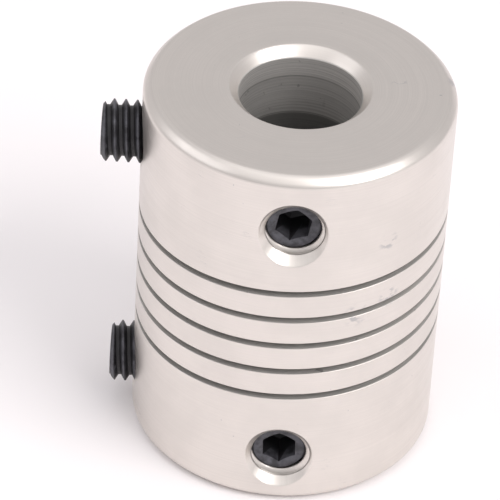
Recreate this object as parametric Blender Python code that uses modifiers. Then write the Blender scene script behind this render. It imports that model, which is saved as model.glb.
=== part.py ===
"""One-piece helical beam coupling, 19 mm by 25 mm, with four M4 socket set screws.

The origin is the middle of the coupling, with its shafts' axis on +Z and its front set
screws facing -Y. One helical slit turns the middle of the bar into a beam of four
turns, so the bar is modelled as the pieces that move apart when it flexes: two hubs
and the turns of the beam, hinged to each other where the real metal bends.
"""

import math

import bmesh
import bpy
from mathutils import Matrix, Vector

MM = 0.001

# The bar
OUTER_RADIUS = 9.5 * MM
LENGTH = 25.0 * MM
TOP = LENGTH / 2
BOTTOM = -LENGTH / 2
OUTER_CHAMFER = 0.5 * MM
UPPER_BORE_RADIUS = 3.75 * MM
UPPER_BORE_CHAMFER = 0.6 * MM
LOWER_BORE_RADIUS = 2.5 * MM
LOWER_BORE_CHAMFER = 0.4 * MM
LOWER_BORE_DEPTH = 7.0 * MM

# The helical slit, right-handed, starting and ending at the back
SLIT_TURNS = 5
SLIT_PITCH = 2.0 * MM
SLIT_WIDTH = 0.42 * MM
SLIT_START_DEG = 90.0
JOINT_GAP_DEG = 3.4
HUB_RAMP_STOP_DEG = 2.0
HUB_RAMP_LAND = 0.03 * MM

# M4 x 0.7 set screws, 5 mm long, with a 2 mm hexagon socket and a cup point
THREAD_PITCH = 0.7 * MM
THREAD_CREST_RADIUS = 1.95 * MM
THREAD_ROOT_RADIUS = 1.58 * MM
THREAD_CREST_WIDTH = 0.08 * MM
SCREW_LENGTH = 5.0 * MM
SCREW_END_CHAMFER = 0.4 * MM
SOCKET_ACROSS_FLATS = 2.0 * MM
SOCKET_DEPTH = 2.2 * MM
CUP_RADIUS = 1.0 * MM
CUP_DEPTH = 0.5 * MM
HOLE_RADIUS = 2.05 * MM
COUNTERSINK_RADIUS = 2.32 * MM
UPPER_SCREW_HEIGHT = TOP - 4.1 * MM
LOWER_SCREW_HEIGHT = BOTTOM + 3.55 * MM
FRONT_DEG = -90.0
SIDE_DEG = 180.0

# Each screw's height, the side it faces, and how far its socket end stands from the axis
SET_SCREWS = {
    "upper_front_set_screw": (UPPER_SCREW_HEIGHT, FRONT_DEG, 8.46 * MM),
    "upper_side_set_screw": (UPPER_SCREW_HEIGHT, SIDE_DEG, 11.9 * MM),
    "lower_front_set_screw": (LOWER_SCREW_HEIGHT, FRONT_DEG, 8.56 * MM),
    "lower_side_set_screw": (LOWER_SCREW_HEIGHT, SIDE_DEG, 10.95 * MM),
}

# Round faces
BAR_STEPS = 144
BEAM_STEP_DEG = 3.0
THREAD_STEPS = 28
HOLE_STEPS = 48
SMOOTH_BELOW_DEG = 30
WELD_DISTANCE = 0.001 * MM

# How far cutters reach past what they cut
CUT_MARGIN = 1.0 * MM
TRIM_MARGIN = 0.1 * MM
SPARE_THREADS = 3
HOLE_END = 0.8 * LOWER_BORE_RADIUS

ALUMINIUM = {"color": (0.80, 0.79, 0.78, 1.0), "metallic": 1.0, "roughness": 0.42}
BLACK_STEEL = {"color": (0.03, 0.03, 0.035, 1.0), "metallic": 0.8, "roughness": 0.45}


def clear_scene():
    """Remove everything, so that the script always starts from nothing."""
    for obj in list(bpy.data.objects):
        bpy.data.objects.remove(obj, do_unlink=True)


def new_collection(name):
    """Make a collection in the scene."""
    collection = bpy.data.collections.new(name)
    bpy.context.scene.collection.children.link(collection)
    return collection


def new_material(name, look):
    """Make a Principled material with one colour, roughness and metallic value."""
    material = bpy.data.materials.new(name)
    material.use_nodes = True
    shader = material.node_tree.nodes["Principled BSDF"]
    shader.inputs["Base Color"].default_value = look["color"]
    shader.inputs["Metallic"].default_value = look["metallic"]
    shader.inputs["Roughness"].default_value = look["roughness"]
    material.diffuse_color = look["color"]
    return material


def new_object(name, bm, collection):
    """Turn a bmesh into an object, with its faces outwards."""
    bmesh.ops.recalc_face_normals(bm, faces=bm.faces)
    mesh = bpy.data.meshes.new(name)
    bm.to_mesh(mesh)
    bm.free()
    obj = bpy.data.objects.new(name, mesh)
    collection.objects.link(obj)
    return obj


def finish_part(obj, look):
    """Give a sub-part its own material and smooth round faces."""
    obj.data.materials.clear()
    obj.data.materials.append(new_material(obj.name, look))
    obj.data.shade_smooth()
    obj.data.set_sharp_from_angle(angle=math.radians(SMOOTH_BELOW_DEG))
    return obj


def hide_cutter(obj):
    """Keep a cutter out of the picture."""
    obj.hide_render = True
    obj.display_type = "WIRE"
    return obj


def turned(name, profile, collection, steps):
    """Turn a closed profile of (radius, height) points about +Z with a Screw modifier."""
    bm = bmesh.new()
    points = [bm.verts.new((radius, 0.0, height)) for radius, height in profile]
    for first, second in zip(points, points[1:] + points[:1]):
        bm.edges.new((first, second))
    mesh = bpy.data.meshes.new(name)
    bm.to_mesh(mesh)
    bm.free()
    obj = bpy.data.objects.new(name, mesh)
    collection.objects.link(obj)
    screw = obj.modifiers.new("turn", "SCREW")
    screw.axis = "Z"
    screw.angle = math.tau
    screw.steps = steps
    screw.render_steps = steps
    screw.use_merge_vertices = True
    screw.merge_threshold = WELD_DISTANCE
    return obj


def swept_section(bm, inner, outer, low, high, start_deg, sweep_deg):
    """Sweep a rectangle round the axis, climbing with the slit's pitch."""
    turn = Matrix.Rotation(math.radians(start_deg), 3, "Z")
    corners = [(inner, low), (outer, low), (outer, high), (inner, high)]
    verts = [bm.verts.new(turn @ Vector((radius, 0.0, height))) for radius, height in corners]
    face = bm.faces.new(verts)
    steps = max(1, round(sweep_deg / BEAM_STEP_DEG))
    climb = SLIT_PITCH * sweep_deg / 360
    bmesh.ops.spin(
        bm,
        geom=[face, *face.edges, *face.verts],
        cent=(0.0, 0.0, 0.0),
        axis=(0.0, 0.0, 1.0),
        dvec=(0.0, 0.0, climb / steps),
        angle=math.radians(sweep_deg),
        steps=steps,
    )


def slit_height(turns):
    """Height of the slit's centre after this many turns from its lower end."""
    return SLIT_PITCH * (turns - SLIT_TURNS / 2)


def beam_segment(name, first_turn, last_turn, collection):
    """One stretch of the helical beam, with a small gap at each end for its joint."""
    start = first_turn + JOINT_GAP_DEG / 2 / 360
    stop = last_turn - JOINT_GAP_DEG / 2 / 360
    bm = bmesh.new()
    swept_section(
        bm,
        UPPER_BORE_RADIUS,
        OUTER_RADIUS,
        slit_height(start) + SLIT_WIDTH / 2,
        slit_height(start + 1) - SLIT_WIDTH / 2,
        SLIT_START_DEG + 360 * start,
        360 * (stop - start),
    )
    obj = new_object(name, bm, collection)
    pivot = slit_height(first_turn + 0.5)
    obj.data.transform(Matrix.Translation((0.0, 0.0, -pivot)))
    obj.location = (0.0, 0.0, pivot)
    return finish_part(obj, ALUMINIUM)


def cut(obj, cutter):
    """Cut one shape out of another."""
    boolean = obj.modifiers.new("cut " + cutter.name, "BOOLEAN")
    boolean.operation = "DIFFERENCE"
    boolean.object = cutter


def bake(obj):
    """Replace an object's modifiers with the mesh they make."""
    graph = bpy.context.evaluated_depsgraph_get()
    mesh = bpy.data.meshes.new_from_object(obj.evaluated_get(graph))
    mesh.name = obj.name
    obj.modifiers.clear()
    obj.data = mesh
    return obj


def ramp_cutter(name, collection, upside_down):
    """The shape that cuts the slit's ramp and its end wall into a hub's inner face."""
    bm = bmesh.new()
    swept_section(
        bm,
        LOWER_BORE_RADIUS,
        OUTER_RADIUS + CUT_MARGIN,
        slit_height(0) - SLIT_WIDTH / 2,
        slit_height(2),
        SLIT_START_DEG,
        360 - HUB_RAMP_STOP_DEG,
    )
    obj = new_object(name, bm, collection)
    if upside_down:
        obj.data.transform(Matrix.Rotation(math.pi, 4, "Y"))
    return hide_cutter(obj)


def spun_solid(name, profile, collection):
    """Spin a profile that starts and ends on the axis into a closed cutter."""
    bm = bmesh.new()
    verts = [bm.verts.new((radius, 0.0, along)) for radius, along in profile]
    edges = [bm.edges.new(pair) for pair in zip(verts, verts[1:])]
    bmesh.ops.spin(
        bm,
        geom=[*verts, *edges],
        cent=(0.0, 0.0, 0.0),
        axis=(0.0, 0.0, 1.0),
        angle=math.tau,
        steps=HOLE_STEPS,
        use_merge=True,
    )
    bmesh.ops.remove_doubles(bm, verts=bm.verts, dist=WELD_DISTANCE)
    return hide_cutter(new_object(name, bm, collection))


def screw_hole_cutter(name, height, azimuth_deg, collection):
    """The plain clearance hole and 45 degree countersink for one set screw."""
    sink_base = OUTER_RADIUS - (COUNTERSINK_RADIUS - HOLE_RADIUS)
    profile = [
        (0.0, OUTER_RADIUS + CUT_MARGIN),
        (COUNTERSINK_RADIUS + CUT_MARGIN, OUTER_RADIUS + CUT_MARGIN),
        (HOLE_RADIUS, sink_base),
        (HOLE_RADIUS, HOLE_END),
        (0.0, HOLE_END),
    ]
    obj = spun_solid(name, profile, collection)
    obj.rotation_euler = outward_rotation(azimuth_deg)
    obj.location = (0.0, 0.0, height)
    return obj


def outward_rotation(azimuth_deg):
    """Turn local +Z to face outwards at this azimuth."""
    return (0.0, math.pi / 2, math.radians(azimuth_deg))


def lower_hub(parts, cutters):
    """The hub that stands on the ground: small bore below, wide bore from its step up."""
    top = slit_height(1) - SLIT_WIDTH / 2 - HUB_RAMP_LAND
    profile = [
        (OUTER_RADIUS, top),
        (OUTER_RADIUS, BOTTOM + OUTER_CHAMFER),
        (OUTER_RADIUS - OUTER_CHAMFER, BOTTOM),
        (LOWER_BORE_RADIUS + LOWER_BORE_CHAMFER, BOTTOM),
        (LOWER_BORE_RADIUS, BOTTOM + LOWER_BORE_CHAMFER),
        (LOWER_BORE_RADIUS, BOTTOM + LOWER_BORE_DEPTH),
        (UPPER_BORE_RADIUS, BOTTOM + LOWER_BORE_DEPTH),
        (UPPER_BORE_RADIUS, top),
    ]
    hub = turned("lower_hub", profile, parts, BAR_STEPS)
    cut(hub, ramp_cutter("lower_ramp_cutter", cutters, upside_down=False))
    for azimuth_deg in (FRONT_DEG, SIDE_DEG):
        name = "lower_hole_cutter_%d" % azimuth_deg
        cut(hub, screw_hole_cutter(name, LOWER_SCREW_HEIGHT, azimuth_deg, cutters))
    return finish_part(bake(hub), ALUMINIUM)


def upper_hub(parts, cutters):
    """The hub at the top, with the wide bore right through it."""
    bottom = slit_height(SLIT_TURNS - 1) + SLIT_WIDTH / 2 + HUB_RAMP_LAND
    profile = [
        (OUTER_RADIUS - OUTER_CHAMFER, TOP),
        (OUTER_RADIUS, TOP - OUTER_CHAMFER),
        (OUTER_RADIUS, bottom),
        (UPPER_BORE_RADIUS, bottom),
        (UPPER_BORE_RADIUS, TOP - UPPER_BORE_CHAMFER),
        (UPPER_BORE_RADIUS + UPPER_BORE_CHAMFER, TOP),
    ]
    hub = turned("upper_hub", profile, parts, BAR_STEPS)
    cut(hub, ramp_cutter("upper_ramp_cutter", cutters, upside_down=True))
    for azimuth_deg in (FRONT_DEG, SIDE_DEG):
        name = "upper_hole_cutter_%d" % azimuth_deg
        cut(hub, screw_hole_cutter(name, UPPER_SCREW_HEIGHT, azimuth_deg, cutters))
    return finish_part(bake(hub), ALUMINIUM)


def threaded_rod(collection):
    """A helical thread, longer than the screw, closed by a cone at each end."""
    turns = math.ceil(SCREW_LENGTH / THREAD_PITCH) + SPARE_THREADS
    flank = (THREAD_PITCH - THREAD_CREST_WIDTH) / 2
    outline = [
        (THREAD_ROOT_RADIUS, 0.0),
        (THREAD_CREST_RADIUS, flank),
        (THREAD_CREST_RADIUS, flank + THREAD_CREST_WIDTH),
        (THREAD_ROOT_RADIUS, THREAD_PITCH),
    ]
    bm = bmesh.new()
    for turn in range(turns):
        lift = THREAD_PITCH * turn
        verts = [bm.verts.new((radius, 0.0, along + lift)) for radius, along in outline]
        edges = [bm.edges.new(pair) for pair in zip(verts, verts[1:])]
        bmesh.ops.spin(
            bm,
            geom=[*verts, *edges],
            cent=(0.0, 0.0, 0.0),
            axis=(0.0, 0.0, 1.0),
            dvec=(0.0, 0.0, THREAD_PITCH / THREAD_STEPS),
            angle=math.tau,
            steps=THREAD_STEPS,
        )
    bmesh.ops.remove_doubles(bm, verts=bm.verts, dist=WELD_DISTANCE)
    middle = THREAD_PITCH * (turns + 1) / 2
    open_edges = [edge for edge in bm.edges if edge.is_boundary]
    for end in (-THREAD_PITCH, (turns + 2) * THREAD_PITCH):
        rim = [edge for edge in open_edges if (edge.verts[0].co.z < middle) == (end < middle)]
        new_geometry = bmesh.ops.extrude_edge_only(bm, edges=rim)["geom"]
        tips = [item for item in new_geometry if isinstance(item, bmesh.types.BMVert)]
        bmesh.ops.pointmerge(bm, verts=tips, merge_co=(0.0, 0.0, end))
    obj = new_object("thread", bm, collection)
    obj.data.transform(Matrix.Translation((0.0, 0.0, -2 * THREAD_PITCH)))
    return obj


def screw_envelope(collection):
    """The screw's turned outline: a chamfered socket end and a cup point at the bottom."""
    clear = THREAD_CREST_RADIUS + TRIM_MARGIN
    profile = [
        (0.0, SCREW_LENGTH),
        (THREAD_CREST_RADIUS - SCREW_END_CHAMFER, SCREW_LENGTH),
        (clear, SCREW_LENGTH - SCREW_END_CHAMFER - (clear - THREAD_CREST_RADIUS)),
        (clear, clear - CUP_RADIUS),
        (CUP_RADIUS, 0.0),
        (0.0, CUP_DEPTH),
    ]
    return spun_solid("screw_envelope", profile, collection)


def socket_cutter(collection):
    """The hexagon socket, open at the screw's end."""
    bm = bmesh.new()
    corner = SOCKET_ACROSS_FLATS / math.sqrt(3)
    depth = SOCKET_DEPTH + CUT_MARGIN
    bmesh.ops.create_cone(
        bm,
        cap_ends=True,
        segments=6,
        radius1=corner,
        radius2=corner,
        depth=depth,
        matrix=Matrix.Translation((0.0, 0.0, SCREW_LENGTH + CUT_MARGIN - depth / 2)),
    )
    return hide_cutter(new_object("socket_cutter", bm, collection))


def set_screw_mesh(cutters):
    """Build the shared set screw mesh: its thread, inside its outline, less its socket."""
    rod = threaded_rod(cutters)
    trim = rod.modifiers.new("trim", "BOOLEAN")
    trim.operation = "INTERSECT"
    trim.object = screw_envelope(cutters)
    cut(rod, socket_cutter(cutters))
    mesh = bake(rod).data
    bpy.data.objects.remove(rod, do_unlink=True)
    mesh.name = "set_screw"
    mesh.transform(Matrix.Translation((0.0, 0.0, -SCREW_LENGTH)))
    return mesh


def set_screw(name, mesh, collection):
    """Place one set screw with its origin at its socket end, on its own axis."""
    height, azimuth_deg, reach = SET_SCREWS[name]
    obj = bpy.data.objects.new(name, mesh.copy())
    collection.objects.link(obj)
    azimuth = math.radians(azimuth_deg)
    obj.location = (reach * math.cos(azimuth), reach * math.sin(azimuth), height)
    obj.rotation_euler = outward_rotation(azimuth_deg)
    return finish_part(obj, BLACK_STEEL)


def main():
    """Model the coupling."""
    clear_scene()
    parts = new_collection("beam_coupling")
    cutters = new_collection("cutters")
    base = bpy.data.objects.new("base", None)
    parts.objects.link(base)
    made = [
        lower_hub(parts, cutters),
        beam_segment("beam_turn_1", 0, 1, parts),
        beam_segment("beam_turn_2", 1, 2, parts),
        beam_segment("beam_turn_3_lower_half", 2, 2.5, parts),
        beam_segment("beam_turn_3_upper_half", 2.5, 3, parts),
        beam_segment("beam_turn_4", 3, 4, parts),
        upper_hub(parts, cutters),
    ]
    screw = set_screw_mesh(cutters)
    made += [set_screw(name, screw, parts) for name in SET_SCREWS]
    for obj in made:
        obj.parent = base


main()
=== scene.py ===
"""Looks of the helical beam coupling: a finished aluminium bar and four blackened set screws.

The machined bar is one continuous surface at rest. It is built as two hubs and eight half
turns of the beam, and the half turns that cross a joint stay in place, on neither of its two
bodies.
"""

import math

import bmesh
import bpy
from mathutils import Matrix, Vector


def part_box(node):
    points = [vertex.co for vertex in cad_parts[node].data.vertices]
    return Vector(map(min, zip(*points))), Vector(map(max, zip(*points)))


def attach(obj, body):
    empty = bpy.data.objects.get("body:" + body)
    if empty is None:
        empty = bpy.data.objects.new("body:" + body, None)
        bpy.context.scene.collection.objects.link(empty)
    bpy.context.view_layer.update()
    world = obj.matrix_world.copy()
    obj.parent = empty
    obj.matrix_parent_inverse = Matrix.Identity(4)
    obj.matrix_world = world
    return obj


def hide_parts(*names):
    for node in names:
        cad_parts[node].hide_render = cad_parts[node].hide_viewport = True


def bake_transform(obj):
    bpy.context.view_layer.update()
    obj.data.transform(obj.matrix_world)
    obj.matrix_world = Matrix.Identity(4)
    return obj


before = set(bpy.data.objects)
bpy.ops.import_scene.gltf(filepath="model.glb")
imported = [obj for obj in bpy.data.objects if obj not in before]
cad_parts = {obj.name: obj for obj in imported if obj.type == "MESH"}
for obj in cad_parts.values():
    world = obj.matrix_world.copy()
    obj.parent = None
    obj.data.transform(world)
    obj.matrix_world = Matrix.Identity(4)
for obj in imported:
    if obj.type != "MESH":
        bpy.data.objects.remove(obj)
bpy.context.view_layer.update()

MM = 0.001

# The bar, as in the CAD
OUTER_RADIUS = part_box("upper_hub")[1].x
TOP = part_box("upper_hub")[1].z
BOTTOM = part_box("lower_hub")[0].z
OUTER_CHAMFER = 0.5 * MM
UPPER_BORE_RADIUS = 3.75 * MM
UPPER_BORE_CHAMFER = 0.6 * MM
LOWER_BORE_RADIUS = 2.5 * MM
LOWER_BORE_CHAMFER = 0.4 * MM
LOWER_BORE_DEPTH = 7.0 * MM

# How round its edges are: at a bore, at an outer chamfer, and along the slit. The material
# softens the hubs' rims further, beyond the height of the seam.
EDGE_FILLET = 0.06 * MM
SOFT_FILLET = 0.22 * MM
BROKEN_EDGE = 0.04 * MM
RIM_SOFTNESS = 0.15 * MM
HUB_SEAM = 6.0 * MM

# The slit, which starts and ends at the back, this far below and above the bar's middle
SLIT_TURNS = 5
SLIT_PITCH = 2.0 * MM
SLIT_WIDTH = 0.42 * MM
SLIT_START_DEG = 90.0
SLIT_END = SLIT_PITCH * SLIT_TURNS / 2

# M4 x 0.7 set screws and their tapped holes
THREAD_PITCH = 0.7 * MM
THREAD_HALF_ANGLE = math.radians(30)
SCREW_CREST = 1.92 * MM
SCREW_ROOT = 1.55 * MM
SCREW_CREST_WIDTH = 0.08 * MM
SCREW_LENGTH = 5.0 * MM
SCREW_END_CHAMFER = 0.32 * MM
SCREW_EDGE_FILLET = 0.05 * MM
CUP_RADIUS = 1.0 * MM
CUP_DEPTH = 0.5 * MM
SOCKET_ACROSS_FLATS = 2.0 * MM
SOCKET_DEPTH = 2.2 * MM
SOCKET_MOUTH = 0.1 * MM
TAPPED_CREST = 2.01 * MM
TAPPED_ROOT = 1.68 * MM
TAPPED_CREST_WIDTH = 0.11 * MM
COUNTERSINK_RADIUS = 2.32 * MM
COUNTERSINK_FILLET = 0.05 * MM

# Turns of thread: in a rod's pointed end, below a screw's point, and beyond a screw's length
THREAD_CONE_TURNS = 2
THREAD_RUN_IN_TURNS = 3
THREAD_SPARE_TURNS = 5

HEXAGON_SIDES = 6
HEXAGON_TURN_DEG = 60

# Each screw: the azimuth it faces, how far out its socket end is, and the turn of its thread
# and of its socket, in degrees
FRONT_DEG = -90.0
SIDE_DEG = 180.0
SCREWS = {
    "upper_front_set_screw": (FRONT_DEG, -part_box("upper_front_set_screw")[0].y, 0.0, -10.0),
    "upper_side_set_screw": (SIDE_DEG, -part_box("upper_side_set_screw")[0].x, -33.0, 8.0),
    "lower_front_set_screw": (FRONT_DEG, -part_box("lower_front_set_screw")[0].y, 0.0, 2.0),
    "lower_side_set_screw": (SIDE_DEG, -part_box("lower_side_set_screw")[0].x, -33.0, 20.0),
}

# Fineness of the round faces
BAR_STEPS = 360
BEAM_ARC_STEPS = 120
THREAD_STEPS = 48
SCREW_STEPS = 96
COUNTERSINK_STEPS = 144
FILLET_STEPS = 4
BAR_SMOOTH_DEG = 30
SCREW_SMOOTH_DEG = 28

# Tolerances and how far a cutter goes past what it cuts
TINY = 0.00001 * MM
ON_SURFACE = 0.001 * MM
SAME_NORMAL_DEG = 20
MARGIN = 1.0 * MM


# ---------------------------------------------------------------- meshes

def object_from_bmesh(name, bm):
    """Turn a bmesh into an object, with its faces outwards."""
    bmesh.ops.recalc_face_normals(bm, faces=bm.faces)
    mesh = bpy.data.meshes.new(name)
    bm.to_mesh(mesh)
    bm.free()
    obj = bpy.data.objects.new(name, mesh)
    bpy.context.scene.collection.objects.link(obj)
    return obj


def combine(obj, other, operation):
    """Cut, trim or join obj with other, and remove other."""
    boolean = obj.modifiers.new("boolean", "BOOLEAN")
    boolean.operation = operation
    boolean.object = other
    graph = bpy.context.evaluated_depsgraph_get()
    mesh = bpy.data.meshes.new_from_object(obj.evaluated_get(graph))
    obj.modifiers.clear()
    obj.data = mesh
    bpy.data.objects.remove(other, do_unlink=True)
    return obj


def smooth(obj, angle_deg):
    """Shade round faces smooth and keep real edges sharp."""
    obj.data.shade_smooth()
    obj.data.set_sharp_from_angle(angle=math.radians(angle_deg))
    return obj


def bar_normals(obj):
    """Give the turned and faced surfaces their exact normals, so no joint between pieces shows."""
    mesh = smooth(obj, BAR_SMOOTH_DEG).data
    cylinders = ((OUTER_RADIUS, 1), (UPPER_BORE_RADIUS, -1), (LOWER_BORE_RADIUS, -1))
    nearly_same = math.cos(math.radians(SAME_NORMAL_DEG))
    normals = [Vector(corner.vector) for corner in mesh.corner_normals]
    for index, loop in enumerate(mesh.loops):
        spot = mesh.vertices[loop.vertex_index].co
        across = Vector((spot.x, spot.y, 0.0))
        choices = []
        for radius, side in cylinders:
            if abs(across.length - radius) < ON_SURFACE:
                choices.append(side * across.normalized())
        if abs(abs(spot.z) - TOP) < ON_SURFACE:
            choices.append(Vector((0.0, 0.0, math.copysign(1.0, spot.z))))
        for exact in choices:
            if exact.dot(normals[index]) > nearly_same:
                normals[index] = exact
    mesh.normals_split_custom_set(normals)
    return obj


def rounded(corners):
    """The points of a closed outline of (radius, height, fillet), with its corners rounded."""
    points = []
    count = len(corners)
    for index, (radius, height, fillet) in enumerate(corners):
        here = Vector((radius, height))
        before = Vector(corners[index - 1][:2]) - here
        after = Vector(corners[(index + 1) % count][:2]) - here
        if not fillet:
            points.append(here)
            continue
        start = here + before.normalized() * fillet
        stop = here + after.normalized() * fillet
        for step in range(FILLET_STEPS + 1):
            share = step / FILLET_STEPS
            points.append(start.lerp(here, share).lerp(here.lerp(stop, share), share))
    return points


def turned(name, points, steps):
    """A solid turned about +Z, from an outline that starts and ends on the axis."""
    bm = bmesh.new()
    verts = [bm.verts.new((radius, 0.0, height)) for radius, height in points]
    edges = [bm.edges.new(pair) for pair in zip(verts, verts[1:])]
    bmesh.ops.spin(
        bm,
        geom=[*edges, *verts],
        cent=(0.0, 0.0, 0.0),
        axis=(0.0, 0.0, 1.0),
        angle=math.tau,
        steps=steps,
    )
    bmesh.ops.remove_doubles(bm, verts=bm.verts, dist=TINY)
    return object_from_bmesh(name, bm)


def threaded_rod(name, crest, root, crest_width, low, turns, phase_deg):
    """A right-handed helical thread on +Z, closed by a cone at each end."""
    flank = (crest - root) * math.tan(THREAD_HALF_ANGLE)
    root_width = THREAD_PITCH - crest_width - 2 * flank
    outline = [
        (root, 0.0),
        (root, root_width / 2),
        (crest, root_width / 2 + flank),
        (crest, root_width / 2 + flank + crest_width),
        (root, THREAD_PITCH - root_width / 2),
    ]
    bm = bmesh.new()
    strings = []
    for step in range(THREAD_STEPS):
        share = step / THREAD_STEPS
        angle = math.tau * share + math.radians(phase_deg)
        string = []
        for turn in range(turns):
            lift = low + THREAD_PITCH * (turn + share)
            for radius, height in outline:
                place = (radius * math.cos(angle), radius * math.sin(angle), height + lift)
                string.append(bm.verts.new(place))
        strings.append(string)
    count = len(outline)
    for step, string in enumerate(strings):
        last = step == THREAD_STEPS - 1
        after = strings[0][count:] if last else strings[step + 1]
        for index in range(len(after) - 1):
            bm.faces.new((string[index], after[index], after[index + 1], string[index + 1]))
    foot = bm.verts.new((0.0, 0.0, low - THREAD_CONE_TURNS * THREAD_PITCH))
    head = bm.verts.new((0.0, 0.0, low + (turns + THREAD_CONE_TURNS) * THREAD_PITCH))
    bottom_rim = [string[0] for string in strings] + strings[0][:count + 1][::-1][:-1]
    seam = len(strings[-1]) - count
    top_rim = [string[-1] for string in strings[:-1]] + strings[-1][seam - 1:][::-1]
    for rim, tip in ((bottom_rim, foot), (top_rim, head)):
        for index, vert in enumerate(rim):
            bm.faces.new((rim[index - 1], vert, tip))
    return object_from_bmesh(name, bm)


# ---------------------------------------------------------------- the machined bar

def slit_height(turns):
    """Height of the slit's centre after this many turns from its lower end."""
    return SLIT_PITCH * (turns - SLIT_TURNS / 2)


def beam_arc(name, first_turn):
    """Half a turn of the beam, with lightly broken edges."""
    corners = [
        (UPPER_BORE_RADIUS, SLIT_WIDTH / 2, BROKEN_EDGE),
        (OUTER_RADIUS, SLIT_WIDTH / 2, BROKEN_EDGE),
        (OUTER_RADIUS, SLIT_PITCH - SLIT_WIDTH / 2, BROKEN_EDGE),
        (UPPER_BORE_RADIUS, SLIT_PITCH - SLIT_WIDTH / 2, BROKEN_EDGE),
    ]
    outline = rounded(corners)
    bm = bmesh.new()
    rings = []
    for step in range(BEAM_ARC_STEPS + 1):
        turns = first_turn + step / BEAM_ARC_STEPS / 2
        angle = math.radians(SLIT_START_DEG) + math.tau * turns
        lift = slit_height(turns)
        ring = [
            bm.verts.new((radius * math.cos(angle), radius * math.sin(angle), height + lift))
            for radius, height in outline
        ]
        rings.append(ring)
    for ring, after in zip(rings, rings[1:]):
        for index in range(len(outline)):
            bm.faces.new((ring[index - 1], ring[index], after[index], after[index - 1]))
    bm.faces.new(rings[0])
    bm.faces.new(rings[-1])
    return bar_normals(object_from_bmesh(name, bm))


def hub_blank(name, fixed_corners):
    """A hub whose inner face climbs with the slit for one turn and ends in a wall."""
    ramp = slit_height(0) - SLIT_WIDTH / 2
    climbing_corners = [
        (OUTER_RADIUS, ramp, BROKEN_EDGE),
        (UPPER_BORE_RADIUS, ramp, BROKEN_EDGE),
    ]
    outline = rounded([*fixed_corners, *climbing_corners])
    fixed_count = len(outline) - len(climbing_corners) * (FILLET_STEPS + 1)
    bm = bmesh.new()
    rings = []
    for step in range(BAR_STEPS + 1):
        share = step / BAR_STEPS
        angle = math.radians(SLIT_START_DEG) + math.tau * share
        ring = []
        for index, (radius, height) in enumerate(outline):
            if step == BAR_STEPS and index < fixed_count:
                ring.append(rings[0][index])
                continue
            lift = SLIT_PITCH * share if index >= fixed_count else 0.0
            place = (radius * math.cos(angle), radius * math.sin(angle), height + lift)
            ring.append(bm.verts.new(place))
        rings.append(ring)
    for step in range(BAR_STEPS):
        ring = rings[step]
        after = rings[step + 1]
        for index in range(len(outline)):
            corners = [ring[index - 1], ring[index], after[index]]
            # The two faces beside the end wall of the slit also meet its far corners
            if step == BAR_STEPS - 1 and index == fixed_count:
                corners.append(rings[0][index])
            if step == BAR_STEPS - 1 and index == 0:
                corners.append(rings[0][-1])
            bm.faces.new([*corners, after[index - 1]])
    wall = rings[0][fixed_count:] + rings[-1][fixed_count:][::-1]
    bm.faces.new(wall)
    return object_from_bmesh(name, bm)


def outward_place(azimuth_deg, reach, height):
    """A frame on the coupling's axis whose +Z points outwards and whose +X points down."""
    turn = Matrix.Rotation(math.radians(azimuth_deg), 4, "Z") @ Matrix.Rotation(math.pi / 2, 4, "Y")
    return Matrix.Translation((0.0, 0.0, height)) @ turn @ Matrix.Translation((0.0, 0.0, reach))


def screw_place(name):
    """Where a set screw's socket end sits."""
    azimuth_deg, reach = SCREWS[name][:2]
    low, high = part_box(name)
    return outward_place(azimuth_deg, reach, (low.z + high.z) / 2)


def tap_hole(hub, name):
    """Cut a screw's tapped and countersunk hole into its hub."""
    reach, phase_deg = SCREWS[name][1:3]
    place = screw_place(name)
    low = -SCREW_LENGTH - THREAD_RUN_IN_TURNS * THREAD_PITCH
    first = math.ceil((MARGIN - reach - low) / THREAD_PITCH)
    last = math.ceil((OUTER_RADIUS + MARGIN - reach - low) / THREAD_PITCH)
    start = low + first * THREAD_PITCH
    turns = last - first
    rod = threaded_rod(
        "tap", TAPPED_CREST, TAPPED_ROOT, TAPPED_CREST_WIDTH, start, turns, phase_deg)
    rod.data.transform(place)
    combine(hub, rod, "DIFFERENCE")
    surface = OUTER_RADIUS - reach
    fillet = COUNTERSINK_FILLET
    outline = [
        (0.0, surface - COUNTERSINK_RADIUS),
        (COUNTERSINK_RADIUS - fillet, surface - fillet),
        (COUNTERSINK_RADIUS + fillet / 2, surface + fillet),
        (COUNTERSINK_RADIUS + fillet, surface + MARGIN),
        (0.0, surface + MARGIN),
    ]
    cone = turned("countersink", outline, COUNTERSINK_STEPS)
    cone.data.transform(place)
    return combine(hub, cone, "DIFFERENCE")


def lower_hub(name):
    """The hub that stands on the floor: a small bore that opens into the wide one."""
    step = BOTTOM + LOWER_BORE_DEPTH
    blank = hub_blank(name, [
        (UPPER_BORE_RADIUS, step, 0),
        (LOWER_BORE_RADIUS, step, BROKEN_EDGE),
        (LOWER_BORE_RADIUS, BOTTOM + LOWER_BORE_CHAMFER, EDGE_FILLET),
        (LOWER_BORE_RADIUS + LOWER_BORE_CHAMFER, BOTTOM, EDGE_FILLET),
        (OUTER_RADIUS - OUTER_CHAMFER, BOTTOM, SOFT_FILLET),
        (OUTER_RADIUS, BOTTOM + OUTER_CHAMFER, SOFT_FILLET),
        (OUTER_RADIUS, -HUB_SEAM, 0),
    ])
    tap_hole(blank, "lower_front_set_screw")
    tap_hole(blank, "lower_side_set_screw")
    return bar_normals(blank)


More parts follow.
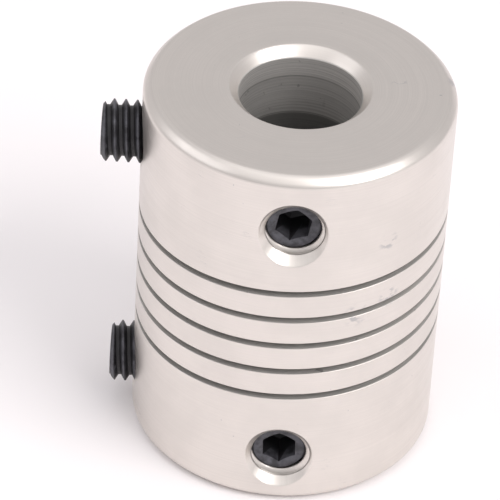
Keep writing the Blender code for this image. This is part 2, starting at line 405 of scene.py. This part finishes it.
def upper_hub(name):
    """The hub at the top, with the wide bore right through it, made upside down and turned over."""
    blank = hub_blank(name, [
        (UPPER_BORE_RADIUS, BOTTOM + UPPER_BORE_CHAMFER, EDGE_FILLET),
        (UPPER_BORE_RADIUS + UPPER_BORE_CHAMFER, BOTTOM, EDGE_FILLET),
        (OUTER_RADIUS - OUTER_CHAMFER, BOTTOM, SOFT_FILLET),
        (OUTER_RADIUS, BOTTOM + OUTER_CHAMFER, SOFT_FILLET),
        (OUTER_RADIUS, -HUB_SEAM, 0),
    ])
    blank.data.transform(Matrix.Rotation(math.pi, 4, "Y"))
    tap_hole(blank, "upper_front_set_screw")
    tap_hole(blank, "upper_side_set_screw")
    return bar_normals(blank)


# ---------------------------------------------------------------- set screws

def socket_cutter(phase_deg):
    """The hexagon socket, one corner down, with its chamfered mouth and drilled bottom."""
    corner = SOCKET_ACROSS_FLATS / math.sqrt(3)
    bm = bmesh.new()
    rims = []
    for height in (MARGIN, -SOCKET_DEPTH):
        angles = [
            math.radians(HEXAGON_TURN_DEG * side + phase_deg)
            for side in range(HEXAGON_SIDES)
        ]
        rim = [
            bm.verts.new((corner * math.cos(angle), corner * math.sin(angle), height))
            for angle in angles
        ]
        rims.append(rim)
    for side in range(HEXAGON_SIDES):
        bm.faces.new((rims[0][side - 1], rims[0][side], rims[1][side], rims[1][side - 1]))
    tip = bm.verts.new((0.0, 0.0, -SOCKET_DEPTH - corner / 2))
    for side in range(HEXAGON_SIDES):
        bm.faces.new((rims[1][side - 1], rims[1][side], tip))
    bm.faces.new(rims[0])
    hexagon = object_from_bmesh("hexagon", bm)
    mouth = corner + SOCKET_MOUTH
    outline = [(0.0, -mouth / 2), (mouth, 0.0), (mouth, MARGIN / 2), (0.0, MARGIN / 2)]
    return combine(hexagon, turned("mouth", outline, SCREW_STEPS), "UNION")


def set_screw(name):
    """A socket set screw with a helical thread, chamfered ends and a cup point."""
    phase_deg, socket_phase_deg = SCREWS[name][2:]
    low = -SCREW_LENGTH - THREAD_RUN_IN_TURNS * THREAD_PITCH
    turns = math.ceil(SCREW_LENGTH / THREAD_PITCH) + THREAD_SPARE_TURNS
    obj = threaded_rod(
        name + "_finished", SCREW_CREST, SCREW_ROOT, SCREW_CREST_WIDTH, low, turns, phase_deg)
    wide = SCREW_CREST + SCREW_END_CHAMFER
    face = SCREW_CREST - SCREW_END_CHAMFER
    envelope = rounded([
        (0.0, CUP_DEPTH - SCREW_LENGTH, 0),
        (CUP_RADIUS, -SCREW_LENGTH, SCREW_EDGE_FILLET),
        (wide, wide - CUP_RADIUS - SCREW_LENGTH, 0),
        (wide, face - wide, 0),
        (face, 0.0, SCREW_EDGE_FILLET),
        (0.0, 0.0, 0),
    ])
    combine(obj, turned("envelope", envelope, SCREW_STEPS), "INTERSECT")
    combine(obj, socket_cutter(socket_phase_deg), "DIFFERENCE")
    obj.data.transform(screw_place(name))
    return smooth(obj, SCREW_SMOOTH_DEG)


# ---------------------------------------------------------------- materials

# Scales of noise are in cycles per metre, one for all axes or one for each. A range is where
# in the noise a feature starts and is complete.
RISING = (0.0, 1.0)
FALLING = (1.0, 0.0)

# The sockets of a Mix node that mixes colours
MIX_FACTOR = 0
MIX_COLOURS = (6, 7)
MIX_RESULT = 2

# Turned aluminium
BRIGHT_ALUMINIUM = (0.765, 0.722, 0.682)
SMUDGED_ALUMINIUM = (0.72, 0.682, 0.645)
LINED_ALUMINIUM = (0.68, 0.645, 0.61)
MARKED_ALUMINIUM = (0.42, 0.42, 0.43)
FINE_LINE_SCALES = (90.0, 90.0, 30000.0)
FINE_LINE_RANGE = (0.3, 0.7)
FINE_LINE_TONE = (0.0, 0.5)
BROAD_LINE_SCALES = (40.0, 40.0, 5000.0)
BROAD_LINE_RANGE = (0.3, 0.7)
BROAD_LINE_ROUGHNESS = (-0.03, 0.04)
TURNED_GRAIN_SCALE = 9000.0
SMUDGE_SCALE = 260.0
SMUDGE_TONE_RANGE = (0.35, 0.7)
SMUDGE_ROUGHNESS_RANGE = (0.3, 0.7)
SMUDGE_ROUGHNESS = (0.33, 0.40)
SCRATCH_SCALES = (500.0, 500.0, 6500.0)
SCRATCH_LEVEL = 0.5
SCRATCH_WIDTH = 0.012
SCRATCH_PATCH_SCALE = 420.0
SCRATCH_PATCH_RANGE = (0.66, 0.72)
SCRATCH_STRENGTH = 0.6
TURNED_NICK_SCALE = 2600.0
TURNED_NICK_RANGE = (0.79, 0.83)
SCUFF_SCALES = (1500.0, 1500.0, 2600.0)
SCUFF_RANGE = (0.47, 0.62)
SCUFF_CORE = 0.4
MARK_TONE = 0.7
TURNED_RELIEF_STRENGTH = 0.35

# Scuffs on the bar: the middle and the size of each, in millimetres
SCUFFS = (
    ((4.1, -8.6, 2.0), 1.0),
    ((6.0, -7.4, 2.6), 0.9),
    ((5.7, -7.6, 7.0), 0.8),
    ((9.3, 1.6, 12.1), 0.7),
)

# The fine relief that every machined surface has
RELIEF_DEPTH = 0.0025 * MM
FINE_RELIEF = 0.5
MARK_RELIEF = 1.5
RIM_SAMPLES = 6

# The bored and slit surfaces
CLEAN_CUT = (0.82, 0.80, 0.775)
RINGED_CUT = (0.58, 0.565, 0.545)
BANDED_CUT = (0.46, 0.45, 0.435)
# The colour of dark nicks and the tear, and also of the painted shade in the slit and deeper in the
# bore
DARK_CUT_AND_SHADE = (0.15, 0.148, 0.142)
CUT_RING_SCALES = (60.0, 60.0, 9000.0)
CUT_RING_TONE_RANGE = (0.35, 0.65)
CUT_RING_ROUGHNESS_RANGE = (0.3, 0.7)
CUT_ROUGHNESS = (0.40, 0.58)
CUT_BAND_SCALES = (25.0, 25.0, 1500.0)
CUT_BAND_RANGE = (0.35, 0.7)
CUT_BAND_TONE = (0.0, 0.35)
CUT_GRAIN_SCALE = 7000.0
CUT_NICK_SCALE = 1500.0
CUT_NICK_RANGE = (0.68, 0.74)
CUT_NICK_DARKNESS = 0.6
CUT_METALLIC = 0.7
CUT_RELIEF_STRENGTH = 0.8
# How dark the painted shade is on the cut faces within the slit's height
SLIT_PAINTED_SHADE = 0.12

# Tool rings in the bore, each a dark line of painted shade where a small step would shade, with
# painted shade on the deeper bore below it: the height of each, the width of its line, and how dark
# the painted shade is below it
BORE_RINGS_AND_PAINTED_SHADE = (
    (10.55 * MM, 0.09 * MM, 0.22),
    (7.86 * MM, 0.12 * MM, 0.85),
)
# How dark the painted groove shade of each ring's line is
BORE_RING_LINE_SHADE = 0.65

# A dark tear in the bore: its middle, its size, and how much it is drawn out along the bore
BORE_TEAR = Vector((1.5, 3.4, 8.8)) * MM
BORE_TEAR_SIZE = 0.32 * MM
BORE_TEAR_STRETCH = 0.35
BORE_TEAR_DARKNESS = 0.75

# Blackened steel
DEEP_BLACK = (0.012, 0.0115, 0.013)
SOFT_BLACK = (0.026, 0.025, 0.028)
RUBBED_BLACK = (0.10, 0.10, 0.115)
BLACK_MOTTLE_SCALE = 1400.0
BLACK_MOTTLE_RANGE = (0.3, 0.7)
BLACK_GRAIN_SCALE = 12000.0
BLACK_ROUGHNESS = (0.42, 0.56)
BLACK_METALLIC = 0.2
BLACK_SPECULAR = 0.5
BLACK_RELIEF_STRENGTH = 0.3
BLACK_RELIEF_DEPTH = 0.003 * MM
RUBBED_EDGE_RANGE = (0.505, 0.56)
RUBBED_MOTTLE_RANGE = (0.35, 0.65)
RUBBED_MOTTLE = (0.25, 1.0)


def new_material(name):
    """A material, with its node tree and its Principled shader."""
    material = bpy.data.materials.new(name)
    material.use_nodes = True
    tree = material.node_tree
    return material, tree, tree.nodes["Principled BSDF"]


def fill(tree, socket, value):
    """Link an input to another node's output, or give it a value of its own."""
    if isinstance(value, bpy.types.NodeSocket):
        tree.links.new(value, socket)
    else:
        socket.default_value = value


def add_node(tree, kind, settings, inputs):
    """Add a node, set its properties, and fill its inputs with values or links."""
    node = tree.nodes.new(kind)
    for key, value in settings.items():
        setattr(node, key, value)
    for key, value in inputs.items():
        fill(tree, node.inputs[key], value)
    return node


def arithmetic(tree, operation, *values):
    """One Math node, giving its result."""
    inputs = dict(enumerate(values))
    return add_node(tree, "ShaderNodeMath", {"operation": operation}, inputs).outputs[0]


def vector_maths(tree, operation, first, second):
    """One Vector Math node of two vectors."""
    return add_node(
        tree, "ShaderNodeVectorMath", {"operation": operation}, {0: first, 1: second})


def stretched(tree, vector, scales):
    """Scale a vector differently along each axis."""
    return vector_maths(tree, "MULTIPLY", vector, scales).outputs[0]


def distance(tree, first, second):
    """How far two points are apart."""
    return vector_maths(tree, "DISTANCE", first, second).outputs["Value"]


def noise(tree, vector, scale, detail, roughness=0.5):
    """Noise of one scale, or of a scale for each axis, giving its value."""
    if isinstance(scale, tuple):
        vector = stretched(tree, vector, scale)
        scale = 1.0
    inputs = {"Vector": vector, "Scale": scale, "Detail": detail, "Roughness": roughness}
    return add_node(tree, "ShaderNodeTexNoise", {}, inputs).outputs["Fac"]


def spread(tree, value, source, result=RISING):
    """Map a value smoothly from one range to another."""
    inputs = {
        "Value": value,
        "From Min": source[0],
        "From Max": source[1],
        "To Min": result[0],
        "To Max": result[1],
    }
    settings = {"interpolation_type": "SMOOTHSTEP"}
    return add_node(tree, "ShaderNodeMapRange", settings, inputs).outputs["Result"]


def mixed_colour(tree, factor, first, second):
    """Mix two colours by a factor."""
    node = add_node(tree, "ShaderNodeMix", {"data_type": "RGBA"}, {MIX_FACTOR: factor})
    for index, colour in zip(MIX_COLOURS, (first, second)):
        fill(tree, node.inputs[index], (*colour, 1.0) if isinstance(colour, tuple) else colour)
    return node.outputs[MIX_RESULT]


def lathe_coordinates(tree):
    """Object coordinates, ones whose third axis runs across the lathe's marks, and the height."""
    place = add_node(tree, "ShaderNodeTexCoord", {}, {}).outputs["Object"]
    parts = add_node(tree, "ShaderNodeSeparateXYZ", {}, {0: place}).outputs
    across = add_node(tree, "ShaderNodeCombineXYZ", {}, {0: parts[0], 1: parts[1]}).outputs[0]
    radius = add_node(
        tree, "ShaderNodeVectorMath", {"operation": "LENGTH"}, {0: across}).outputs["Value"]
    travel = arithmetic(tree, "ADD", radius, parts[2])
    marks = add_node(
        tree, "ShaderNodeCombineXYZ", {}, {0: parts[0], 1: parts[1], 2: travel}).outputs[0]
    return place, marks, parts[2]


def scuffs(tree, place):
    """How scuffed a spot on the surface is, from 0 to 1."""
    near = 0.0
    for centre, size in SCUFFS:
        apart = distance(tree, place, Vector(centre) * MM)
        reach = (SCUFF_CORE * size * MM, size * MM)
        near = arithmetic(tree, "ADD", near, spread(tree, apart, reach, FALLING))
    broken = spread(tree, noise(tree, place, SCUFF_SCALES, detail=3.0), SCUFF_RANGE)
    return arithmetic(tree, "MULTIPLY", near, broken)


def scratches(tree, place):
    """How scratched a spot on the surface is, from 0 to 1: hairlines in a few patches."""
    field = noise(tree, place, SCRATCH_SCALES, detail=2.0)
    apart = arithmetic(tree, "ABSOLUTE", arithmetic(tree, "SUBTRACT", field, SCRATCH_LEVEL))
    line = spread(tree, apart, (0.0, SCRATCH_WIDTH), FALLING)
    patches = noise(tree, place, SCRATCH_PATCH_SCALE, detail=1.0)
    patch = spread(tree, patches, SCRATCH_PATCH_RANGE)
    return arithmetic(tree, "MULTIPLY", line, patch)


def machined_normal(tree, fine, broad, grain, mark, strength, rim_softness=0.0):
    """The fine relief of a machined surface, and its rims softened, as a normal."""
    height = arithmetic(tree, "ADD", arithmetic(tree, "MULTIPLY", fine, FINE_RELIEF), grain)
    height = arithmetic(tree, "ADD", height, broad)
    sunk = arithmetic(tree, "MULTIPLY", mark, MARK_RELIEF)
    height = arithmetic(tree, "SUBTRACT", height, sunk)
    inputs = {"Strength": strength, "Distance": RELIEF_DEPTH, "Height": height}
    if rim_softness:
        rim = add_node(
            tree, "ShaderNodeBevel", {"samples": RIM_SAMPLES}, {"Radius": rim_softness})
        inputs["Normal"] = rim.outputs[0]
    return add_node(tree, "ShaderNodeBump", {}, inputs).outputs[0]


def aluminium_material(name, rim_softness=0.0):
    """Satin turned aluminium: fine turning marks, soft smudges, hairline scratches and nicks."""
    material, tree, shader = new_material(name)
    place, marks, _ = lathe_coordinates(tree)
    fine = noise(tree, marks, FINE_LINE_SCALES, detail=2.0)
    broad = noise(tree, marks, BROAD_LINE_SCALES, detail=3.0)
    grain = noise(tree, place, TURNED_GRAIN_SCALE, detail=2.0, roughness=0.6)
    smudge = noise(tree, place, SMUDGE_SCALE, detail=4.0, roughness=0.6)
    nicks = noise(tree, place, TURNED_NICK_SCALE, detail=1.0)
    nick = spread(tree, nicks, TURNED_NICK_RANGE)
    scratch = arithmetic(tree, "MULTIPLY", scratches(tree, place), SCRATCH_STRENGTH)
    mark = arithmetic(tree, "MAXIMUM", scratch, nick)
    mark = arithmetic(tree, "MAXIMUM", mark, scuffs(tree, place))

    colour = mixed_colour(
        tree, spread(tree, smudge, SMUDGE_TONE_RANGE), BRIGHT_ALUMINIUM, SMUDGED_ALUMINIUM)
    lined = spread(tree, fine, FINE_LINE_RANGE, FINE_LINE_TONE)
    colour = mixed_colour(tree, lined, colour, LINED_ALUMINIUM)
    marked = arithmetic(tree, "MULTIPLY", mark, MARK_TONE)
    colour = mixed_colour(tree, marked, colour, MARKED_ALUMINIUM)
    roughness = arithmetic(
        tree, "ADD", spread(tree, smudge, SMUDGE_ROUGHNESS_RANGE, SMUDGE_ROUGHNESS),
        spread(tree, broad, BROAD_LINE_RANGE, BROAD_LINE_ROUGHNESS))
    normal = machined_normal(
        tree, fine, broad, grain, mark, TURNED_RELIEF_STRENGTH, rim_softness)
    fill(tree, shader.inputs["Base Color"], colour)
    fill(tree, shader.inputs["Metallic"], 1.0)
    fill(tree, shader.inputs["Roughness"], roughness)
    fill(tree, shader.inputs["Normal"], normal)
    return material


def bore_rings_and_painted_shade(tree, height):
    """How dark the painted shade of the tool rings' lines, and the painted shade deeper in the bore
    below each ring, make the bore at a height. They end above the slit.
    """
    dark = 0.0
    for ring_height, width, painted_shade_below in BORE_RINGS_AND_PAINTED_SHADE:
        # Painted shade: the bore is darker below each ring, deeper in
        below = spread(tree, height, (ring_height - width, ring_height), (painted_shade_below, 0.0))
        apart = arithmetic(tree, "ABSOLUTE", arithmetic(tree, "SUBTRACT", height, ring_height))
        # Painted shade: a dark line where the ring's small step would shade
        line = spread(tree, apart, (0.0, width), (BORE_RING_LINE_SHADE, 0.0))
        ring = arithmetic(tree, "MAXIMUM", below, line)
        dark = arithmetic(tree, "MAXIMUM", dark, ring)
    above_slit = spread(tree, height, (SLIT_END + SLIT_WIDTH, HUB_SEAM))
    return arithmetic(tree, "MULTIPLY", dark, above_slit)


def bore_tear(tree, place, rings):
    """How dark the tear makes a spot in the bore."""
    squeeze = Vector((1.0, 1.0, BORE_TEAR_STRETCH))
    apart = distance(tree, stretched(tree, place, squeeze), BORE_TEAR * squeeze)
    tear = spread(tree, apart, (0.0, BORE_TEAR_SIZE), (BORE_TEAR_DARKNESS, 0.0))
    return arithmetic(tree, "MULTIPLY", tear, rings)


def cut_aluminium_material():
    """The rougher surface that a boring bar and a slitting saw leave, with clear tool rings, dark
    nicks and a tear, and painted shade in the slit and deeper in the bore.
    """
    material, tree, shader = new_material("bored_and_slit_aluminium")
    place, marks, height = lathe_coordinates(tree)
    rings = noise(tree, marks, CUT_RING_SCALES, detail=4.0, roughness=0.6)
    bands = noise(tree, marks, CUT_BAND_SCALES, detail=2.0)
    grain = noise(tree, place, CUT_GRAIN_SCALE, detail=2.0, roughness=0.6)
    nick = spread(tree, noise(tree, place, CUT_NICK_SCALE, detail=2.0), CUT_NICK_RANGE)

    from_middle = arithmetic(tree, "ABSOLUTE", height)
    # Painted shade: the cut faces are darker within the slit's height, in the slit and on the bore
    # beside the beam
    painted_slit_shade = spread(tree, from_middle, (SLIT_END, SLIT_END + SLIT_WIDTH), (SLIT_PAINTED_SHADE, 0.0))
    dark = arithmetic(tree, "MULTIPLY", nick, CUT_NICK_DARKNESS)
    for other in (painted_slit_shade, bore_rings_and_painted_shade(tree, height), bore_tear(tree, place, rings)):
        dark = arithmetic(tree, "MAXIMUM", dark, other)

    colour = mixed_colour(tree, spread(tree, rings, CUT_RING_TONE_RANGE), CLEAN_CUT, RINGED_CUT)
    banded = spread(tree, bands, CUT_BAND_RANGE, CUT_BAND_TONE)
    colour = mixed_colour(tree, banded, colour, BANDED_CUT)
    # Dark nicks and the tear, and the painted shade in the slit and in the bore
    colour = mixed_colour(tree, dark, colour, DARK_CUT_AND_SHADE)
    roughness = spread(tree, rings, CUT_RING_ROUGHNESS_RANGE, CUT_ROUGHNESS)
    normal = machined_normal(tree, rings, bands, grain, nick, CUT_RELIEF_STRENGTH)
    fill(tree, shader.inputs["Base Color"], colour)
    fill(tree, shader.inputs["Metallic"], CUT_METALLIC)
    fill(tree, shader.inputs["Roughness"], roughness)
    fill(tree, shader.inputs["Normal"], normal)
    return material


def black_oxide_material():
    """Blackened steel: a deep bluish black that is rubbed grey on its crests and edges."""
    material, tree, shader = new_material("black_oxide_steel")
    place = add_node(tree, "ShaderNodeTexCoord", {}, {}).outputs["Object"]
    edges = add_node(tree, "ShaderNodeNewGeometry", {}, {}).outputs["Pointiness"]
    mottle = noise(tree, place, BLACK_MOTTLE_SCALE, detail=4.0, roughness=0.6)
    grain = noise(tree, place, BLACK_GRAIN_SCALE, detail=2.0, roughness=0.6)
    rubbed = arithmetic(
        tree, "MULTIPLY", spread(tree, edges, RUBBED_EDGE_RANGE),
        spread(tree, mottle, RUBBED_MOTTLE_RANGE, RUBBED_MOTTLE))
    colour = mixed_colour(tree, spread(tree, mottle, BLACK_MOTTLE_RANGE), DEEP_BLACK, SOFT_BLACK)
    colour = mixed_colour(tree, rubbed, colour, RUBBED_BLACK)
    roughness = spread(tree, mottle, BLACK_MOTTLE_RANGE, BLACK_ROUGHNESS)
    bump = add_node(tree, "ShaderNodeBump", {}, {
        "Strength": BLACK_RELIEF_STRENGTH,
        "Distance": BLACK_RELIEF_DEPTH,
        "Height": grain,
    })
    fill(tree, shader.inputs["Base Color"], colour)
    fill(tree, shader.inputs["Metallic"], BLACK_METALLIC)
    fill(tree, shader.inputs["Specular IOR Level"], BLACK_SPECULAR)
    fill(tree, shader.inputs["Roughness"], roughness)
    fill(tree, shader.inputs["Normal"], bump.outputs[0])
    return material


# ---------------------------------------------------------------- assembly

aluminium = aluminium_material("turned_aluminium")
soft_rimmed_aluminium = aluminium_material("turned_aluminium_with_soft_rims", RIM_SOFTNESS)
cut_aluminium = cut_aluminium_material()
black_oxide = black_oxide_material()

# The bar's materials, by slot
BAR_MATERIALS = (aluminium, cut_aluminium, soft_rimmed_aluminium)
CUT_SLOT = 1
SOFT_RIMMED_SLOT = 2

# How squarely a face has to look at the axis to be bored, or along it to be in the slit
LOOKS_INWARD = 0.5
LOOKS_ALONG = 0.9

# The body that each half turn of the beam rides on, or the two whose joint it crosses, where it
# stays in place
HALF_TURN_BODIES = (
    ("lower_hub", "beam_turn_1"),
    ("beam_turn_1",),
    ("beam_turn_1", "beam_turn_2"),
    ("beam_turn_2",),
    ("beam_turn_2", "beam_turn_3_lower_half"),
    ("beam_turn_3_lower_half", "beam_turn_3_upper_half"),
    ("beam_turn_3_upper_half", "beam_turn_4"),
    ("beam_turn_4", "upper_hub"),
)


def finish_piece(obj, *materials):
    """Give a piece its materials, the first of them on every face that has no other."""
    obj.data.materials.clear()
    for material in materials:
        obj.data.materials.append(material)
    return obj


def finish_bar_piece(obj):
    """Turned aluminium outside, with soft rims on the hubs, and cut in the bore and the slit."""
    finish_piece(obj, *BAR_MATERIALS)
    for face in obj.data.polygons:
        middle = face.center
        across = Vector((middle.x, middle.y, 0.0))
        inward = -face.normal.dot(across.normalized())
        bored = inward > LOOKS_INWARD and across.length < UPPER_BORE_RADIUS + BROKEN_EDGE
        beside_beam = abs(middle.z) < HUB_SEAM
        slit = beside_beam and abs(face.normal.z) > LOOKS_ALONG
        if bored or slit:
            face.material_index = CUT_SLOT
        elif not beside_beam:
            face.material_index = SOFT_RIMMED_SLOT
    return obj


def place_whole(piece, name):
    """Let a piece stand in for one CAD node and ride on its body."""
    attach(piece, name)
    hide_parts(name)


def place_bar():
    """Build the bar's pieces and join each to its body, or leave it in place where it crosses a
    joint between two.
    """
    for name, build in (("lower_hub", lower_hub), ("upper_hub", upper_hub)):
        place_whole(finish_bar_piece(build(name + "_finished")), name)
    replaced = set()
    for index, bodies in enumerate(HALF_TURN_BODIES):
        piece = finish_bar_piece(beam_arc("beam_half_turn_%d" % (index + 1), index / 2))
        if len(bodies) == 1:
            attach(piece, bodies[0])
        else:
            # Every other half turn starts at the back, at +Y, and the rest at the front
            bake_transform(piece)
        owner = bodies[0] if bodies[-1] == "upper_hub" else bodies[-1]
        if owner not in replaced:
            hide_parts(owner)
            replaced.add(owner)


def place_screws():
    """Build the four set screws in their holes."""
    for name in SCREWS:
        place_whole(finish_piece(set_screw(name), black_oxide), name)


# ---------------------------------------------------------------- studio

FLOOR_SIZE = 4.0
FLOOR_CELLS = 8
FLOOR_GAP = 0.01 * MM
FLOOR_SHADES = ((0.92, 0.89, 0.90), (0.94, 0.915, 0.925))
FLOOR_SHADE_SCALE = 18.0
FLOOR_ROUGHNESS = 0.8

CAMERA_TARGET = Vector((-2.495, 0.0, -0.272)) * MM
CAMERA_ELEVATION_DEG = 38.3
CAMERA_DISTANCE = 238.3 * MM
CAMERA_ROLL_DEG = 3.34
CAMERA_LENS_MM = 276.0
CAMERA_SENSOR_MM = 36.0
CAMERA_CLIP_START = 0.01
CAMERA_CLIP_END = 10.0

SURROUND_COLOUR = (1.0, 0.975, 0.985, 1.0)
SURROUND_STRENGTH = 0.685

# Each softbox: its place, its width and height, its power in watts, and its colour
SOFTBOXES = {
    "front_softbox": ((0.0, -0.42, 0.50), (0.60, 0.50), 0.2, (1.0, 0.98, 0.97)),
    "right_softbox": ((0.40, -0.30, 0.45), (0.40, 0.40), 2.3, (1.0, 0.98, 0.97)),
    "left_softbox": ((-0.56, -0.10, 0.41), (0.50, 0.30), 0.5, (0.99, 0.98, 1.0)),
    "top_softbox": ((0.0, -0.05, 0.75), (0.90, 0.90), 1.2, (1.0, 0.985, 0.99)),
}


def floor():
    """A wide pale floor under the coupling, with a barely uneven shade."""
    bm = bmesh.new()
    bmesh.ops.create_grid(
        bm, x_segments=FLOOR_CELLS, y_segments=FLOOR_CELLS, size=FLOOR_SIZE / 2)
    obj = object_from_bmesh("floor", bm)
    obj.location.z = BOTTOM - FLOOR_GAP
    material, tree, shader = new_material("pale_floor")
    place = add_node(tree, "ShaderNodeTexCoord", {}, {}).outputs["Object"]
    patches = noise(tree, place, FLOOR_SHADE_SCALE, detail=2.0)
    shade = mixed_colour(tree, patches, *FLOOR_SHADES)
    fill(tree, shader.inputs["Base Color"], shade)
    fill(tree, shader.inputs["Roughness"], FLOOR_ROUGHNESS)
    finish_piece(obj, material)


def aimed(name, data, position, target):
    """A light or a camera at a position, pointing at a target and upright."""
    obj = bpy.data.objects.new(name, data)
    turn = (target - position).to_track_quat("-Z", "Y").to_matrix().to_4x4()
    obj.matrix_world = Matrix.Translation(position) @ turn
    bpy.context.scene.collection.objects.link(obj)
    return obj


def softbox(name, position, size, watts, colour):
    """A rectangular soft light aimed at the coupling."""
    light = bpy.data.lights.new(name, "AREA")
    light.shape = "RECTANGLE"
    light.size, light.size_y = size
    light.energy = watts
    light.color = colour
    aimed(name, light, Vector(position), Vector())


def camera():
    """The camera, level with the horizon apart from its small roll."""
    lens = bpy.data.cameras.new("camera")
    lens.lens = CAMERA_LENS_MM
    lens.sensor_width = CAMERA_SENSOR_MM
    lens.clip_start = CAMERA_CLIP_START
    lens.clip_end = CAMERA_CLIP_END
    elevation = math.radians(CAMERA_ELEVATION_DEG)
    outward = Vector((0.0, -math.cos(elevation), math.sin(elevation)))
    position = CAMERA_TARGET + outward * CAMERA_DISTANCE
    obj = aimed("camera", lens, position, CAMERA_TARGET)
    roll = Matrix.Rotation(math.radians(CAMERA_ROLL_DEG), 4, "Z")
    obj.matrix_world = obj.matrix_world @ roll
    bpy.context.scene.camera = obj


def studio():
    """Plain soft light: an even pale surround and four softboxes."""
    scene = bpy.context.scene
    scene.view_settings.view_transform = "Standard"
    world = bpy.data.worlds.new("studio")
    world.use_nodes = True
    background = world.node_tree.nodes["Background"]
    background.inputs["Color"].default_value = SURROUND_COLOUR
    background.inputs["Strength"].default_value = SURROUND_STRENGTH
    scene.world = world
    for name, (position, size, watts, colour) in SOFTBOXES.items():
        softbox(name, position, size, watts, colour)


place_bar()
place_screws()
floor()
studio()
camera()
